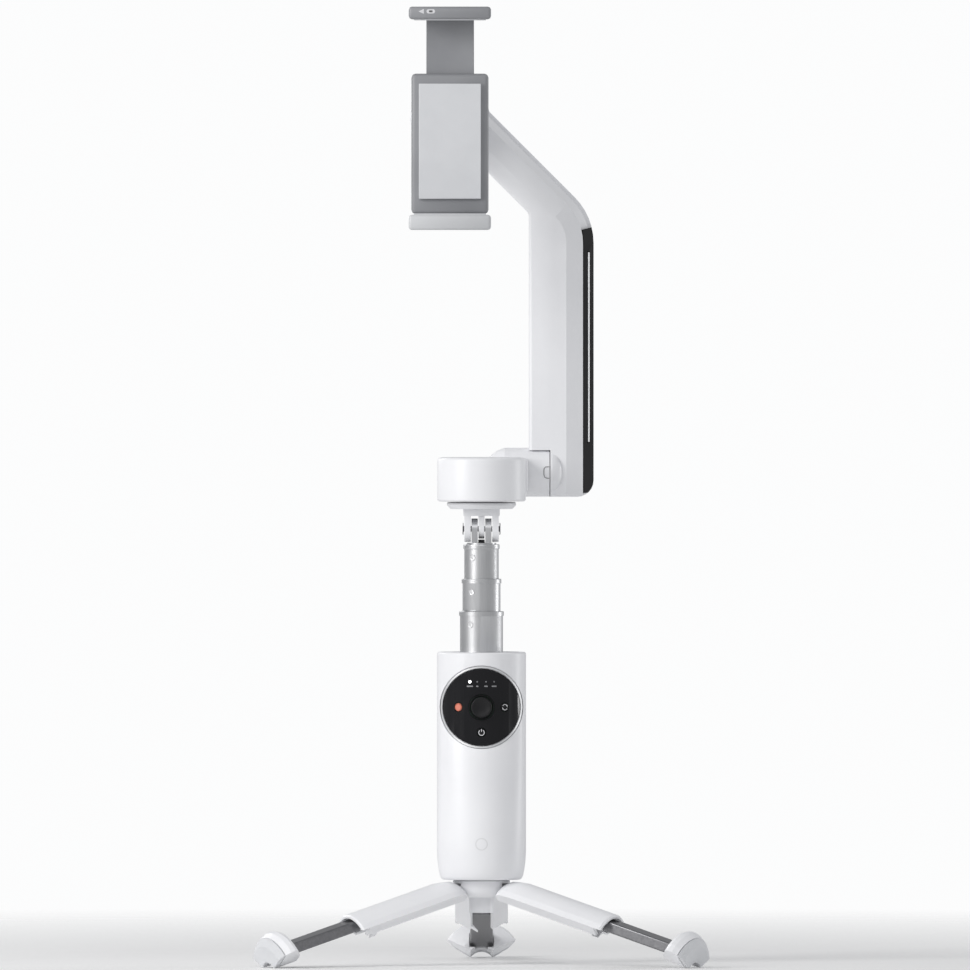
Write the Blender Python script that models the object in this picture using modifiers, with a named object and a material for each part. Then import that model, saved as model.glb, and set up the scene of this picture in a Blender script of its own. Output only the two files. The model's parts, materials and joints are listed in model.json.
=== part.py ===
"""A phone gimbal on a telescoping stick with a folding tripod. Sizes are in millimetres, scaled by MM."""

import math

import bmesh
import bpy
from mathutils import Matrix, Vector

MM = 0.001
GAP = 0.3

# Handle, about the Z axis.
HANDLE_R = 17.8
HANDLE_LOW = 33.8
HANDLE_TOP = 124.8
HANDLE_BORE = 16.2

# Control panel on the handle's front.
PANEL_Z = 103.0
PANEL_R = 15.4
PANEL_FACE = 17.9
BUTTON_R = 1.6
BUTTON_REACH = 9.3
POWER_DROP = 10.0
JOYSTICK_Y = -14.0
PORT_TURN = math.radians(-60)

# Telescoping stick, a little behind the handle's axis.
STICK_Y = 5.0
TUBE_TOPS = (141.0, 154.0, 167.8)
TUBE_RADII = (8.6, 7.6, 6.9)
TUBE_BORES = (7.85, 7.15, 6.2)
TUBE_LENGTHS = (86.0, 84.0, 82.0)
RING_HEIGHT = 1.8
RING_PROUD = 0.35

# Head.
HEAD_Z = 174.0
FLANGE_Z = 182.4
PAN_LOW = 185.0
PAN_TOP = 202.6
PAN_R = 17.7
FOLD_Y = STICK_Y + 27.0
FOLD_Z = 196.4
BARREL_R = 9.8
BARREL_RIGHT = 27.3
BOSS_R = 9.7

# Arm, with its outline in the XZ plane.
ARM_LEFT = 19.0
ARM_RIGHT = 45.0
ARM_LOW = 186.6
ARM_FRONT = STICK_Y + 20.6
ARM_BACK = ARM_FRONT + 20.2
CORNER_R = 6.5
BEND_Z = 288.4
BEND_R = ARM_RIGHT - ARM_LEFT
ROLL_X = -12.6
ROLL_Z = 338.4
ROLL_R = 16.0
DIAGONAL_OUT = 13.0
DIAGONAL_IN = -4.6

# Tilt and clamp.
TILT_R = 9.6
CLAMP_LEFT = -29.0
CLAMP_RIGHT = 3.8
CLAMP_BACK = -16.5
CLAMP_FRONT = -24.0
JAW_FRONT = -40.0
PHONE_LOW = 300.2
PHONE_TOP = 377.2

# Tripod legs: each is a third of a ring about the closed axis, which passes PIVOT_R below its pivot.
LEG_SLOPE = math.radians(16.5)
PIVOT_R = 5.6
PIVOT_Z = 25.7 + PIVOT_R * (1 - math.sin(LEG_SLOPE)) / math.cos(LEG_SLOPE)
LEG_AZIMUTHS = {"left": 210, "right": 330, "rear": 90}
SECTOR = math.radians(58.3)
LEG_BORE = 5.2
LEG_R = 12.5
SHELL_START = 5.4
SHELL_END = 57.0
TAB_START = 47.5
FOOT_START = 86.0
FOOT_R = 16.3
PAD_START = 95.0
PAD_END = 97.2
LUG_HALF = 2.2

WHITE = ((0.86, 0.86, 0.87), 0.38, 0.0)
GREY = ((0.34, 0.35, 0.37), 0.45, 0.0)
PALE_GREY = ((0.62, 0.63, 0.65), 0.45, 0.0)
BLACK_GLOSS = ((0.012, 0.012, 0.014), 0.12, 0.0)
BLACK = ((0.02, 0.02, 0.022), 0.5, 0.0)
ALUMINIUM = ((0.72, 0.73, 0.74), 0.3, 1.0)
DARK_METAL = ((0.2, 0.2, 0.21), 0.35, 1.0)
BRASS = ((0.75, 0.58, 0.3), 0.3, 1.0)
RUBBER = ((0.55, 0.56, 0.58), 0.8, 0.0)
CORAL = ((0.9, 0.16, 0.07), 0.4, 0.0)
BOARD_GREEN = ((0.02, 0.12, 0.06), 0.6, 0.0)
CELL_BLUE = ((0.1, 0.16, 0.3), 0.5, 0.0)

AIM = {"Z": (0, 0, 0), "X": (0, math.pi / 2, 0), "-Y": (math.pi / 2, 0, 0), "Y": (-math.pi / 2, 0, 0)}
HOMES = {}


def clear_scene():
    for obj in list(bpy.data.objects):
        bpy.data.objects.remove(obj)


def new_collection(name):
    collection = bpy.data.collections.new(name)
    bpy.context.scene.collection.children.link(collection)
    return collection


def joint_empty(name, at, parent=None, turn=(0, 0, 0)):
    """An empty on a joint's axis. Its place is given in the handle's frame."""
    empty = bpy.data.objects.new(name, None)
    PARTS.objects.link(empty)
    empty.rotation_euler = turn
    empty.location = Vector(at) * MM
    if parent:
        empty.parent, home_at = HOMES[parent]
        empty.location -= Vector(home_at) * MM
    HOMES[name] = (empty, at)
    return empty


def add_object(name, mesh, collection, at=(0, 0, 0), aim="Z"):
    obj = bpy.data.objects.new(name, mesh)
    collection.objects.link(obj)
    obj.parent = HOMES["stance"][0]
    obj.location = Vector(at) * MM
    obj.rotation_euler = AIM[aim]
    return obj


def from_bmesh(name, bm, collection, at=(0, 0, 0), aim="Z"):
    bmesh.ops.recalc_face_normals(bm, faces=bm.faces)
    bmesh.ops.scale(bm, vec=(MM, MM, MM), verts=bm.verts)
    mesh = bpy.data.meshes.new(name)
    bm.to_mesh(mesh)
    bm.free()
    return add_object(name, mesh, collection, at, aim)


def box(name, low, high, collection):
    low, high = Vector(low), Vector(high)
    bm = bmesh.new()
    place = Matrix.Translation((low + high) / 2) @ Matrix.Diagonal((*(high - low), 1))
    bmesh.ops.create_cube(bm, size=1, matrix=place)
    return from_bmesh(name, bm, collection)


def cylinder(name, radius, low, high, collection, at=(0, 0, 0), aim="Z", steps=32):
    """A cylinder from low to high along its aim, measured from the point at."""
    bm = bmesh.new()
    bmesh.ops.create_cone(
        bm, cap_ends=True, segments=steps, radius1=radius, radius2=radius, depth=high - low,
        matrix=Matrix.Translation((0, 0, (low + high) / 2)),
    )
    return from_bmesh(name, bm, collection, at, aim)


def turned(name, profile, collection, at=(0, 0, 0), aim="Z", steps=48):
    """Turns a profile of (radius, height). It closes into a loop unless its ends lie on the axis."""
    points = [(radius * MM, 0, height * MM) for radius, height in profile]
    edges = [(i, i + 1) for i in range(len(points) - 1)]
    if profile[0][0] or profile[-1][0]:
        edges.append((len(points) - 1, 0))
    mesh = bpy.data.meshes.new(name)
    mesh.from_pydata(points, edges, [])
    obj = add_object(name, mesh, collection, at, aim)
    screw = obj.modifiers.new("turn", "SCREW")
    screw.steps = steps
    screw.render_steps = steps
    screw.use_merge_vertices = True
    screw.merge_threshold = 0.00001
    return obj


def prism(name, outline, low, high, collection, plane="XZ"):
    """Extrudes a flat outline from low to high along the axis that its plane leaves out."""
    spot = {
        "XZ": lambda a, b, c: (a, c, b),
        "YZ": lambda a, b, c: (c, a, b),
    }[plane]
    bm = bmesh.new()
    face = bm.faces.new([bm.verts.new(spot(a, b, low)) for a, b in outline])
    grown = bmesh.ops.extrude_face_region(bm, geom=[face])
    risen = [item for item in grown["geom"] if isinstance(item, bmesh.types.BMVert)]
    bmesh.ops.translate(bm, vec=spot(0, 0, high - low), verts=risen)
    return from_bmesh(name, bm, collection)


def arc(centre, radius, start, end, steps):
    """Points on an arc, from angle start to angle end in degrees."""
    angles = [math.radians(start + (end - start) * i / steps) for i in range(steps + 1)]
    return [(centre[0] + radius * math.cos(a), centre[1] + radius * math.sin(a)) for a in angles]


def boolean(obj, other, operation):
    modifier = obj.modifiers.new(operation.lower(), "BOOLEAN")
    modifier.operation = operation
    modifier.object = other


def cut(obj, *cutters):
    for cutter in cutters:
        boolean(obj, cutter, "DIFFERENCE")


def join(obj, *others):
    for other in others:
        boolean(obj, other, "UNION")


def round_edges(obj, width, segments=2, angle=30):
    modifier = obj.modifiers.new("round", "BEVEL")
    modifier.width = width * MM
    modifier.segments = segments
    modifier.limit_method = "ANGLE"
    modifier.angle_limit = math.radians(angle)


def finish(obj, look, home):
    """Gives a part its own material and hangs it on its body's empty."""
    colour, roughness, metallic = look
    material = bpy.data.materials.new(obj.name + "_finish")
    material.use_nodes = True
    shader = material.node_tree.nodes["Principled BSDF"]
    shader.inputs["Base Color"].default_value = (*colour, 1)
    shader.inputs["Roughness"].default_value = roughness
    shader.inputs["Metallic"].default_value = metallic
    obj.data.materials.clear()
    obj.data.materials.append(material)
    empty, at = HOMES[home]
    if obj.parent != empty:
        obj.parent = empty
        obj.location -= Vector(at) * MM
    return obj


# ---- handle ----


def front_disc(name, radius, back):
    """A cylinder along Y that cuts the handle's front wall round the panel's centre."""
    return cylinder(name, radius, -back, 30, CUTTERS, at=(0, 0, PANEL_Z), aim="-Y", steps=40)


def button_place(reach):
    """Angle round the handle's front for a button that far to the side."""
    return math.asin(reach / PANEL_FACE)


def button_shape(name, reach, z, radius, low, high, collection):
    obj = cylinder(name, radius, low, high, collection, at=(0, 0, z), aim="-Y", steps=20)
    obj.rotation_euler = (math.pi / 2, 0, button_place(reach))
    return obj


BUTTONS = {
    "record_button": (-BUTTON_REACH, PANEL_Z, CORAL),
    "switch_button": (BUTTON_REACH, PANEL_Z, BLACK_GLOSS),
    "power_button": (0, PANEL_Z - POWER_DROP, BLACK_GLOSS),
}


def handle_shell():
    outside = [(17.3, HANDLE_TOP), (HANDLE_R, HANDLE_TOP - 0.5), (HANDLE_R, 45), (17.55, 41), (17.1, 37.5)]
    bottom = [(16.6, 35.2), (16, 34.2), (15.4, HANDLE_LOW), (8, HANDLE_LOW), (8, 35.4)]
    inside = [(15.1, 35.4), (15.4, 38), (HANDLE_BORE, 45.5), (HANDLE_BORE, HANDLE_TOP)]
    shell = turned("handle_shell", outside + bottom + inside, PARTS, steps=48)
    recess = front_disc("panel_recess", 16.7, -1.9)
    core = cylinder("panel_ledge_core", 16.8, 60, 130, CUTTERS, steps=48)
    cut(recess, core)
    window = front_disc("panel_window", 15.0, -4.5)
    trigger_window = box("trigger_window", (-4.4, 15.3, 97.6), (4.4, 25, 114.4), CUTTERS)
    port_hole = box("port_hole", (-4.8, 11, 60.1), (4.8, 22, 63.9), CUTTERS)
    port_hole.rotation_euler = (0, 0, PORT_TURN)
    cut(shell, recess, window, trigger_window, port_hole)
    return finish(shell, WHITE, "handle")


def usb_port():
    port = box("usb_port", (-4.4, 13.2, 60.5), (4.4, 17.6, 63.5), PARTS)
    mouth = box("port_mouth", (-3.9, 13.8, 61), (3.9, 20, 63), CUTTERS)
    for obj in (port, mouth):
        obj.rotation_euler = (0, 0, PORT_TURN)
    cut(port, mouth)
    return finish(port, DARK_METAL, "handle")


def handle_top_cap():
    cap = cylinder("handle_top_cap", 15.9, 122, 124.6, PARTS, steps=40)
    cut(cap, cylinder("cap_hole", 8.9, 110, 140, CUTTERS, at=(0, STICK_Y, 0), steps=32))
    return finish(cap, WHITE, "handle")


def panel_tube(name, inner, outer):
    low, high = PANEL_Z - 17, PANEL_Z + 17
    return turned(name, [(outer, high), (outer, low), (inner, low), (inner, high)], PARTS, steps=48)


def control_panel():
    panel = panel_tube("control_panel", 17.1, PANEL_FACE)
    boolean(panel, front_disc("panel_edge", PANEL_R, -4), "INTERSECT")
    cut(panel, front_disc("joystick_hole", 5.2, -4))
    for name, (reach, z, _) in BUTTONS.items():
        cut(panel, button_shape(name + "_hole", reach, z, BUTTON_R + GAP, 10, 30, CUTTERS))
    return finish(panel, BLACK_GLOSS, "handle")


def panel_bezel():
    bezel = panel_tube("panel_bezel", 17.1, 18)
    boolean(bezel, front_disc("bezel_outer", 16.4, -1.9), "INTERSECT")
    cut(bezel, front_disc("bezel_inner", PANEL_R + GAP, -1.8))
    return finish(bezel, ALUMINIUM, "handle")


def buttons():
    for name, (reach, z, look) in BUTTONS.items():
        turn = button_place(reach)
        joint_empty(name + "_press", (0, 0, z), "handle", (0, 0, turn))
        button = button_shape(name, reach, z, BUTTON_R, 15.2, 18.0, PARTS)
        finish(button, look, name + "_press")
        button.rotation_euler = (math.pi / 2, 0, 0)


def joystick():
    centre = (0, 0, PANEL_Z)
    ring = [(4.9, 17.9), (4.9, 14.8), (4.5, 14.8), (4.5, 17.9)]
    finish(turned("joystick_ring", ring, PARTS, at=centre, aim="-Y", steps=24), BLACK, "handle")
    pivot = (0, JOYSTICK_Y, PANEL_Z)
    joint_empty("joystick_up_down", pivot, "handle")
    joint_empty("joystick_left_right", pivot, "joystick_up_down")
    yoke = [(3.6, 0.6), (3.6, -0.6), (2.4, -0.6), (2.4, 0.6)]
    finish(turned("joystick_yoke", yoke, PARTS, at=pivot, aim="-Y", steps=20), BLACK, "joystick_up_down")
    dish = [(0, 6.2), (1.6, 6.3), (2.9, 6.6), (3.7, 6.9), (4.1, 6.6), (4.15, 6), (4, 5.1)]
    stem = [(1.5, 5.1), (1.5, -1.6), (0, -1.6)]
    cap = turned("joystick_cap", dish + stem, PARTS, at=pivot, aim="-Y", steps=20)
    finish(cap, BLACK, "joystick_left_right")


def trigger():
    pivot = (0, 17, 112.6)
    joint_empty("trigger_pull", pivot, "handle")
    side = [(16.3, 98), (18.2, 98), (19.2, 100), (19.4, 104), (18.9, 109), (18.2, 114), (16.3, 114)]
    paddle = prism("trigger", side, -4, 4, PARTS, plane="YZ")
    round_edges(paddle, 0.5, segments=2)
    return finish(paddle, WHITE, "trigger_pull")


def handle_insides():
    finish(box("control_board", (-9.5, -11.6, 86.5), (9.5, -10.6, 119.5), PARTS), BOARD_GREEN, "handle")
    cell = box("battery_pack", (-10, -12.2, 46.5), (10, -5.3, 84.5), PARTS)
    round_edges(cell, 1)
    finish(cell, CELL_BLUE, "handle")
    wall = [(9.75, 121.7), (9.75, 36), (8.85, 36), (8.85, 121.7)]
    finish(turned("stick_sleeve", wall, PARTS, at=(0, STICK_Y, 0), steps=24), BLACK, "handle")


# ---- tripod ----


def leg_frame(azimuth):
    """Turns leg coordinates (along, across, up from the pivot) into the handle's frame."""
    spin = Matrix.Rotation(azimuth, 4, "Z")
    return spin @ Matrix.Translation((PIVOT_R, 0, PIVOT_Z)) @ Matrix.Rotation(LEG_SLOPE, 4, "Y")


def round_the_legs(name, outline, turn_z):
    """An outline in a vertical plane through the axis, 5 mm thick, turned to face one leg."""
    cutter = prism(name, outline, -2.5, 2.5, CUTTERS)
    cutter.rotation_euler = (0, 0, turn_z)
    return cutter


def tripod_hub():
    plug = [(0, 35.4), (7.7, 35.4), (7.7, 33.5)]
    cup = [(11.2, 33.5), (11.4, 33.2), (11.4, 31), (10.8, 29), (9.6, 27.3), (8.8, 26.8)]
    neck = [(4.9, 26.8), (4.9, 20.5), (4, 20.5), (4, 26.4), (0, 26.4)]
    hub = turned("tripod_hub", plug + cup + neck, PARTS, steps=36)
    slot = [(3.2, 32.4), (3.2, 27.7), (5.15, 27.7), (5.15, 25.9), (17, 25.9), (17, 32.4)]
    for side, degrees in LEG_AZIMUTHS.items():
        turn = math.radians(degrees)
        cut(hub, round_the_legs(side + "_slot", slot, turn))
        hole = cylinder(side + "_pin_hole", 1.2, -4.6, 4.6, CUTTERS, aim="-Y", steps=16)
        hole.location = leg_frame(turn).translation * MM
        hole.rotation_euler = (math.pi / 2, 0, turn)
        cut(hub, hole)
    finish(hub, WHITE, "handle")
    bush = [(3.7, 26.1), (3.7, 20.8), (2.6, 20.8), (2.6, 26.1)]
    finish(turned("thread_insert", bush, PARTS, steps=24), BRASS, "handle")


def sector(name, outline):
    """Spins an outline of (along, radius) round the closed axis, through the leg's share of the ring."""
    axis = Vector((0, 0, -PIVOT_R))
    swing = Matrix.Rotation(-SECTOR, 4, "X")
    bm = bmesh.new()
    points = [axis + swing @ Vector((along, 0, radius)) for along, radius in outline]
    face = bm.faces.new([bm.verts.new(point) for point in points])
    bmesh.ops.spin(
        bm, geom=[face, *face.edges, *face.verts], cent=axis, axis=(1, 0, 0), angle=2 * SECTOR,
        steps=10, use_duplicate=False,
    )
    return from_bmesh(name, bm, CUTTERS)


def bake(obj):
    """The mesh that an object's modifiers make, for pieces that share it."""
    bpy.context.view_layer.update()
    evaluated = obj.evaluated_get(bpy.context.evaluated_depsgraph_get())
    mesh = bpy.data.meshes.new_from_object(evaluated)
    mesh.name = obj.name
    return mesh


def leg_shell_mesh():
    shoulder = [(SHELL_START, LEG_BORE), (SHELL_START, 8), (6.2, 10), (8, 11.3), (11, 12)]
    tail = [(14, LEG_R), (SHELL_END - 0.8, LEG_R), (SHELL_END, LEG_R - 0.5), (SHELL_END, LEG_BORE)]
    shell = sector("leg_shell_form", shoulder + tail)
    wall, apex = 1.3, 1.5
    reach = LEG_R - wall
    run = -apex * math.cos(SECTOR) + math.sqrt(reach**2 - (apex * math.sin(SECTOR)) ** 2)
    edge = math.degrees(math.atan2(run * math.sin(SECTOR), apex + run * math.cos(SECTOR)))
    roof = arc((0, -PIVOT_R), reach, 90 + edge, 90 - edge, 10)
    cavity = prism("leg_cavity", roof + [(0, apex - PIVOT_R)], 13, 60, CUTTERS, plane="YZ")
    lug = box("leg_lug", (0, -LUG_HALF, LEG_BORE - PIVOT_R), (8, LUG_HALF, 1.9), CUTTERS)
    knuckle = cylinder("leg_knuckle", 2, -LUG_HALF, LUG_HALF, CUTTERS, aim="Y", steps=24)
    pin_hole = cylinder("leg_pin_hole", 1.2, -5, 5, CUTTERS, aim="Y", steps=16)
    step = [(TAB_START + 4.5, -6), (TAB_START + 6, 0.8), (60, 0.8), (60, -6)]
    cut(shell, cavity, prism("leg_end_step", step, -15, 15, CUTTERS))
    join(shell, lug, knuckle, leg_tab())
    cut(shell, pin_hole)
    return bake(shell)


def leg_tab():
    """A tab on one side wall that reaches in towards the closed axis and keys the folded legs."""
    inside = (SECTOR - math.radians(14), SECTOR)
    corners = [(1.8, inside[0] + 0.15), (1.8, inside[1]), (6.5, inside[1]), (6.5, inside[0])]
    outline = [(r * math.sin(a), r * math.cos(a) - PIVOT_R) for r, a in corners]
    return prism("leg_tab", outline, TAB_START, TAB_START + 3, CUTTERS, plane="YZ")


def leg_bar_mesh():
    bar = box("leg_bar_form", (40, -4.6, 0), (91, 4.6, 4.3), CUTTERS)
    round_edges(bar, 0.4, segments=1)
    return bake(bar)


def foot_mesh():
    heel = [(FOOT_START + 0.6, LEG_BORE), (FOOT_START, 8.5), (FOOT_START + 1, 11.4)]
    crown = [(FOOT_START + 3.2, FOOT_R - 0.7), (FOOT_START + 4.6, FOOT_R), (FOOT_START + 6.5, FOOT_R - 0.2)]
    face = [(PAD_START - GAP, FOOT_R - 1.3), (PAD_START - GAP, LEG_BORE)]
    foot = sector("foot_form", heel + crown + face)
    cut(foot, box("bar_pocket", (78, -4.9, -1.1), (91.3, 4.9, 4.6), CUTTERS))
    return bake(foot)


def foot_pad_mesh():
    sole = [(PAD_START, LEG_BORE), (PAD_START, FOOT_R - 1.5), (PAD_END - 1, FOOT_R - 2.7)]
    tip = [(PAD_END, FOOT_R - 4.4), (PAD_END, LEG_BORE)]
    pad = sector("foot_pad_form", sole + tip)
    ground = box("ground", (-200, -50, -20), (200, 50, 0), CUTTERS)
    ground.matrix_basis = leg_frame(0).inverted()
    ground.location *= MM
    cut(pad, ground)
    return bake(pad)


def leg_pin_mesh():
    return bake(cylinder("leg_pin_form", 0.9, -4.3, 4.3, CUTTERS, aim="Y", steps=16))


def reach_of(mesh, azimuth):
    """The lowest and highest Y of a leg's mesh when it points along an azimuth."""
    frame = leg_frame(azimuth)
    across = [(frame @ (vertex.co / MM)).y for vertex in mesh.vertices]
    return min(across), max(across)


def legs():
    pieces = {"leg_shell": (leg_shell_mesh(), WHITE), "leg_bar": (leg_bar_mesh(), DARK_METAL)}
    pieces["foot"] = (foot_mesh(), WHITE)
    pieces["foot_pad"] = (foot_pad_mesh(), RUBBER)
    pieces["leg_pin"] = (leg_pin_mesh(), DARK_METAL)
    for side, degrees in LEG_AZIMUTHS.items():
        azimuth = math.radians(degrees)
        hinge = side + "_leg_hinge"
        slide = side + "_leg_slide"
        frame = leg_frame(azimuth)
        joint_empty(hinge, tuple(frame.translation), "handle", frame.to_euler())
        HOMES[slide] = (bpy.data.objects.new(slide, None), (0, 0, 0))
        PARTS.objects.link(HOMES[slide][0])
        HOMES[slide][0].parent = HOMES[hinge][0]
        for piece, (mesh, look) in pieces.items():
            obj = bpy.data.objects.new(side + "_" + piece, mesh.copy())
            PARTS.objects.link(obj)
            obj.parent = HOMES[hinge if piece in ("leg_shell", "leg_pin") else slide][0]
            finish(obj, look, hinge if piece in ("leg_shell", "leg_pin") else slide)
            if piece == "leg_pin":
                obj.rotation_euler = (math.pi / 2, 0, 0)
    rear = reach_of(pieces["foot_pad"][0], math.radians(90))[1]
    front = min(reach_of(pieces[piece][0], math.radians(330))[0] for piece in ("foot", "foot_pad"))
    HOMES["stance"][0].location.y = -(rear + front) / 2 * MM


# ---- stick ----


def stick():
    parent = "handle"
    names = ("stick_tube_lower", "stick_tube_middle", "stick_tube_upper")
    for name, top, radius, bore, length in zip(names, TUBE_TOPS, TUBE_RADII, TUBE_BORES, TUBE_LENGTHS):
        home = name + "_slide"
        joint_empty(home, (0, STICK_Y, top), parent)
        ring = radius + RING_PROUD
        shoulder = top - RING_HEIGHT
        outside = [(ring - 0.2, top), (ring, top - 0.2), (ring, shoulder), (radius, shoulder)]
        wall = outside + [(radius, top - length), (bore, top - length), (bore, top)]
        finish(turned(name, wall, PARTS, at=(0, STICK_Y, 0), steps=32), ALUMINIUM, home)
        parent = home


def lug_outline(radius, reach):
    """A lug in the YZ plane, rounded about the head's hinge axis and reaching up or down to a height."""
    start = 180 if reach > HEAD_Z else 0
    tip = arc((STICK_Y, HEAD_Z), radius, start, start + 180, 14)
    return tip + [(tip[-1][0], reach), (tip[0][0], reach)]


def stick_fork():
    fork = cylinder("stick_fork", 5.9, 160, 168.4, PARTS, at=(0, STICK_Y, 0), steps=32)
    for side, low, high in (("left", -4, -1.5), ("right", 1.5, 4)):
        join(fork, prism("fork_lug_" + side, lug_outline(4.15, 167), low, high, CUTTERS, plane="YZ"))
    cut(fork, cylinder("fork_hole", 1.4, -10, 10, CUTTERS, at=(0, STICK_Y, HEAD_Z), aim="X", steps=20))
    return finish(fork, ALUMINIUM, "stick_tube_upper_slide")


# ---- head ----


def head_base():
    top = FLANGE_Z + 2.3
    base = [(0, top), (13.5, top), (13.8, top - 0.3), (13.8, 183.4), (12.4, 182), (0, 182)]
    head = turned("head_base", base, PARTS, at=(0, STICK_Y, 0), steps=36)
    depth = 5.2
    block = box("neck_block", (-7.3, STICK_Y - depth, 179.2), (7.3, STICK_Y + depth, 183), CUTTERS)
    join(head, block)
    walls = {"left_cheek": (depth, -6.9, -4.3), "right_cheek": (depth, 4.3, 6.9), "knuckle": (3.9, -1.2, 1.2)}
    for name, (radius, low, high) in walls.items():
        join(head, prism(name, lug_outline(radius, 181), low, high, CUTTERS, plane="YZ"))
    cut(head, cylinder("head_hole", 1.4, -10, 10, CUTTERS, at=(0, STICK_Y, HEAD_Z), aim="X", steps=20))
    finish(head, WHITE, "head_tilt")
    pin = [(0, 7.6), (2.2, 7.6), (2.6, 7.2), (1.1, 7.2), (1.1, -7.2), (2.6, -7.2), (2.2, -7.6), (0, -7.6)]
    rivet = turned("head_hinge_pin", pin, PARTS, at=(0, STICK_Y, HEAD_Z), aim="X", steps=20)
    finish(rivet, DARK_METAL, "head_tilt")


def pan_motor():
    axis = (0, STICK_Y, 0)
    core = [(0, 199.6), (3, 199.6), (3, 198), (14.9, 198), (14.9, PAN_LOW), (0, PAN_LOW)]
    finish(turned("pan_stator", core, PARTS, at=axis, steps=32), DARK_METAL, "head_tilt")
    rim = PAN_TOP - 1.5
    crown = [(12, PAN_TOP), *[(PAN_R - 1.5 + x, rim + z) for x, z in arc((0, 0), 1.5, 90, 0, 3)]]
    foot = [(PAN_R, PAN_LOW + 0.6), (PAN_R - 0.6, PAN_LOW), (15.6, PAN_LOW), (15.6, 200), (12, 200)]
    finish(turned("pan_housing", crown + foot, PARTS, at=axis, steps=40), WHITE, "pan_axis")
    lid = [(0, PAN_TOP), (11.7, PAN_TOP), (11.7, PAN_TOP - 2), (0, PAN_TOP - 2)]
    finish(turned("pan_top_cap", lid, PARTS, at=axis, steps=32), WHITE, "pan_axis")


def fold_yoke():
    axis = (0, FOLD_Y, FOLD_Z)
    barrel = [(0, BARREL_RIGHT), (BARREL_R, BARREL_RIGHT)]
    cone = [(BARREL_R, 9.4), (8.6, 6.2), (6.2, 3), (4, 1.4), (0, 1.4)]
    yoke = turned("fold_yoke", barrel + cone, PARTS, at=axis, aim="X", steps=36)
    bridge = box("yoke_bridge", (1.6, 12, 188), (18.6, 35, 202.2), CUTTERS)
    round_edges(bridge, 1.5)
    sweep = cylinder("motor_clearance", PAN_R + GAP, 180, 210, CUTTERS, at=(0, STICK_Y, 0), steps=40)
    join(yoke, bridge)
    cut(yoke, sweep, cylinder("yoke_hole", 2.9, 12, 40, CUTTERS, at=axis, aim="X", steps=24))
    finish(yoke, WHITE, "pan_axis")
    finish(cylinder("fold_pin", 2.6, 12.4, 31.4, PARTS, at=axis, aim="X", steps=24), DARK_METAL, "pan_axis")


# ---- arm ----


def arm_outline():
    """The arm from the front: straight up, a bend of 45 degrees, and a run to the roll motor's round end."""
    corner = arc((ARM_RIGHT - CORNER_R, ARM_LOW + CORNER_R), CORNER_R, -90, 0, 6)
    bend = arc((ARM_LEFT, BEND_Z), BEND_R, 0, 45, 6)
    start = 45 - math.degrees(math.acos(DIAGONAL_OUT / ROLL_R))
    end = 45 + 360 - math.degrees(math.acos(DIAGONAL_IN / ROLL_R))
    motor = arc((ROLL_X, ROLL_Z), ROLL_R, start, end, 22)
    inner_sum = ROLL_X + ROLL_Z + DIAGONAL_IN * math.sqrt(2)
    return [(ARM_LEFT, ARM_LOW)] + corner + bend + motor + [(ARM_LEFT, inner_sum - ARM_LEFT)]


# The arm's right side, seen from above: a slanted facet, then the bed of the black strip.
FACET = ((34.0, ARM_FRONT), (40.7, ARM_FRONT + 2.85))
STRIP_BED = ((39.7, ARM_FRONT + 4.0), (43.5, ARM_FRONT + 11.0), (43.5, ARM_FRONT + 13.7))
STRIP = (
    (41.0, ARM_FRONT + 3.0), (45.0, ARM_FRONT + 10.4), (45.0, ARM_FRONT + 13.4),
    (43.8, ARM_FRONT + 13.4), (43.8, ARM_FRONT + 10.8), (40.1, ARM_FRONT + 3.9),
)


def swept_edge(name, section, collection, low, straight_top, bend=0.0, beyond=0.0):
    """Sweeps a section seen from above up the arm's right edge, round the bend and along the diagonal."""
    bm = bmesh.new()
    face = bm.faces.new([bm.verts.new((x, y, low)) for x, y in section])
    grown = bmesh.ops.extrude_face_region(bm, geom=[face])
    verts = [item for item in grown["geom"] if isinstance(item, bmesh.types.BMVert)]
    bmesh.ops.translate(bm, vec=(0, 0, straight_top - low), verts=verts)
    if bend:
        top = [item for item in grown["geom"] if isinstance(item, bmesh.types.BMFace)]
        turned_end = bmesh.ops.spin(
            bm, geom=top, cent=(ARM_LEFT, 0, BEND_Z), axis=(0, -1, 0), angle=bend, steps=6, use_duplicate=False
        )
        if beyond:
            ends = [item for item in turned_end["geom_last"] if isinstance(item, bmesh.types.BMFace)]
            last = bmesh.ops.extrude_face_region(bm, geom=ends)
            verts = [item for item in last["geom"] if isinstance(item, bmesh.types.BMVert)]
            run = Vector((-math.sin(bend), 0, math.cos(bend))) * beyond
            bmesh.ops.translate(bm, vec=run, verts=verts)
            bmesh.ops.delete(bm, geom=ends, context="FACES_ONLY")
        bmesh.ops.delete(bm, geom=[f for f in top if f.is_valid], context="FACES_ONLY")
    return from_bmesh(name, bm, collection)


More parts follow.
